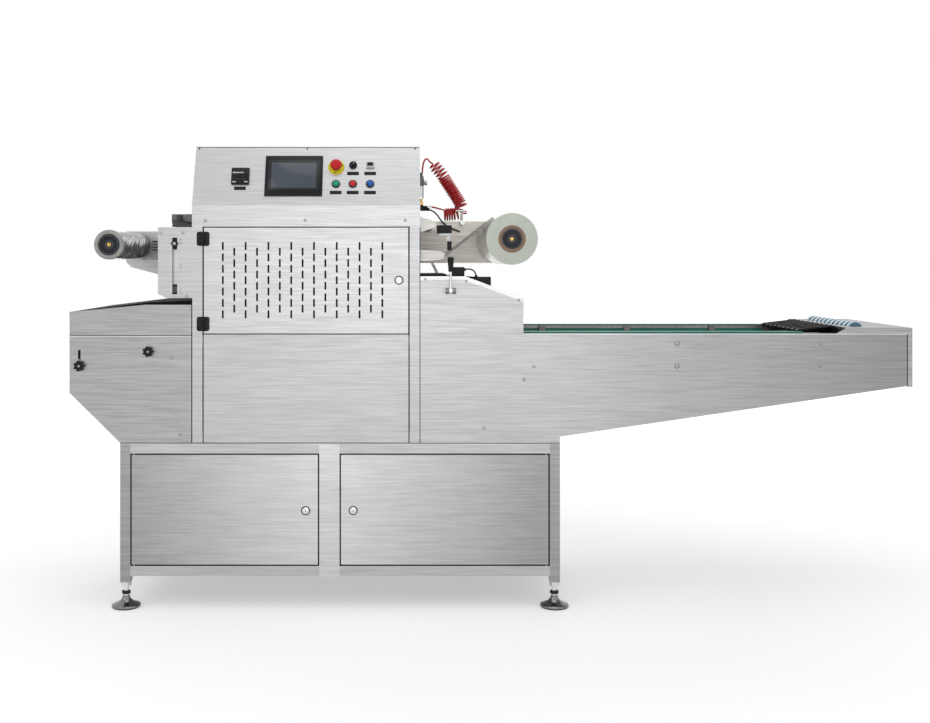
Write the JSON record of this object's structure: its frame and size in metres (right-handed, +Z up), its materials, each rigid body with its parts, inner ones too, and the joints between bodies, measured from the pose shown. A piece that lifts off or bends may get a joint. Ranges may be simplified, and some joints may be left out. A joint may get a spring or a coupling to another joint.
{
  "type": "inline tray sealer",
  "caption": "Inline tray sealer: a chain conveyor carries food trays under a sealing tower while film runs from a supply roll to a waste roll.",
  "frame": {"origin": "on the floor under the middle of the machine's length and depth", "axes": "+X along the machine towards the discharge end, +Y towards the back, +Z up"},
  "size_m": [2.909, 0.6648, 1.6],
  "materials": {
    "frame_steel": "fine brushed stainless",
    "panel_steel": "horizontally brushed stainless",
    "door_steel": "horizontally brushed stainless",
    "dark_cover": "dark glossy sheet",
    "pale_sheet": "bright folded sheet",
    "foot_rubber": "dull",
    "machined_steel": "turned and polished",
    "aluminium": "satin",
    "black_plastic": "fine texture",
    "screen_plastic": "dark bezel and glass",
    "ring_chrome": "polished",
    "yellow_plastic": "plain",
    "red_plastic": "plain",
    "green_plastic": "translucent look",
    "blue_plastic": "translucent look",
    "cylinder_grey": "satin",
    "film_roll": "wound clear film",
    "core_board": "plain board",
    "chuck_dark": "ribbed",
    "clear_film": "clear film",
    "guide_green": "slippery plastic",
    "ramp_black": "smooth",
    "roller_pale": "ribbed",
    "red_hose": "air hose",
    "black_hose": "air hose"
  },
  "bodies": {
    "frame": {"base_posts": "frame_steel", "base_rails": "frame_steel", "base_cross_rails": "frame_steel", "tower_posts": "frame_steel", "base_skins": "panel_steel", "tower_panels": "panel_steel", "tower_side_panels": "panel_steel", "left_side_plates": "panel_steel", "conveyor_sides": "panel_steel", "right_hood_sides": "panel_steel", "control_box": "panel_steel", "bottom_pans": "panel_steel", "end_table": "panel_steel", "slot_plate": "panel_steel", "rewind_plate": "panel_steel", "unwind_plate": "panel_steel", "conveyor_beams": "panel_steel", "left_hood_cover": "dark_cover", "right_hood_top": "pale_sheet", "foot_pads": "foot_rubber", "foot_stems": "machined_steel", "slot_clamp": "machined_steel", "sprocket_shafts": "machined_steel", "drive_chains": "machined_steel", "idler_arms": "aluminium", "idler_rollers": "aluminium", "tray_carriers": "aluminium", "vent_hinge_plates": "black_plastic", "star_knobs": "black_plastic", "eye_mark_sensor": "black_plastic", "guard_switch": "black_plastic", "panel_instruments": "black_plastic", "touch_screen": "screen_plastic", "button_rings": "ring_chrome", "estop_plate": "yellow_plastic", "rewind_cylinder": "cylinder_grey", "air_regulator": "cylinder_grey", "film_web": "clear_film", "chain_guides": "guide_green", "discharge_ramp": "ramp_black", "ribbed_roller": "roller_pale", "red_hose_coil": "red_hose", "red_hose_ends": "red_hose", "black_hoses": "black_hose"},
    "vent_door": {"vent_door": "door_steel", "vent_hinge_leaves": "black_plastic"},
    "base_door_left": {"base_door_left": "door_steel"},
    "base_door_right": {"base_door_right": "door_steel"},
    "supply_roll": {"supply_film": "film_roll", "supply_core": "core_board", "supply_shaft": "chuck_dark"},
    "waste_roll": {"waste_film": "film_roll", "waste_shaft": "chuck_dark"},
    "clamp_lever": {"clamp_lever": "machined_steel"},
    "estop_head": {"estop_head": "red_plastic"},
    "selector_knob": {"selector_knob": "black_plastic"},
    "start_button": {"start_button": "green_plastic"},
    "stop_button": {"stop_button": "red_plastic"},
    "reset_button": {"reset_button": "blue_plastic"}
  },
  "joints": [
    {"name": "vent_door_hinge", "type": "hinge", "parent": "frame", "child": "vent_door", "pos_m": [-0.9925, -0.3063, 1], "axis": [0, 0, -1], "range_deg": [0, 110]},
    {"name": "base_door_left_hinge", "type": "hinge", "parent": "frame", "child": "base_door_left", "pos_m": [-1.232, -0.296, 1], "axis": [0, 0, -1], "range_deg": [0, 100]},
    {"name": "base_door_right_hinge", "type": "hinge", "parent": "frame", "child": "base_door_right", "pos_m": [0.1916, -0.296, 1], "axis": [0, 0, 1], "range_deg": [0, 100]},
    {"name": "supply_roll_spin", "type": "hinge", "parent": "frame", "child": "supply_roll", "pos_m": [0.077, 0, 1.274], "axis": [0, 1, 0], "continuous": true},
    {"name": "waste_roll_spin", "type": "hinge", "parent": "frame", "child": "waste_roll", "pos_m": [-1.328, 0, 1.254], "axis": [0, 1, 0], "continuous": true},
    {"name": "clamp_lever_hinge", "type": "hinge", "parent": "frame", "child": "clamp_lever", "pos_m": [-0.139, -0.316, 1.094], "axis": [1, 0, 0], "range_deg": [0, 150]},
    {"name": "estop_press", "type": "slide", "parent": "frame", "child": "estop_head", "axis": [0, 0.9219, -0.3875], "range_m": [0, 0.004]},
    {"name": "selector_turn", "type": "hinge", "parent": "frame", "child": "selector_knob", "pos_m": [-0.4775, -0.23877, 1.53165], "axis": [0, -0.9219, 0.3875], "range_deg": [0, 90]},
    {"name": "start_press", "type": "slide", "parent": "frame", "child": "start_button", "axis": [0, 0.9219, -0.3875], "range_m": [0, 0.003], "stiffness_N_per_m": 400, "springref_m": -0.002},
    {"name": "stop_press", "type": "slide", "parent": "frame", "child": "stop_button", "axis": [0, 0.9219, -0.3875], "range_m": [0, 0.003], "stiffness_N_per_m": 400, "springref_m": -0.002},
    {"name": "reset_press", "type": "slide", "parent": "frame", "child": "reset_button", "axis": [0, 0.9219, -0.3875], "range_m": [0, 0.003], "stiffness_N_per_m": 400, "springref_m": -0.002}
  ]
}
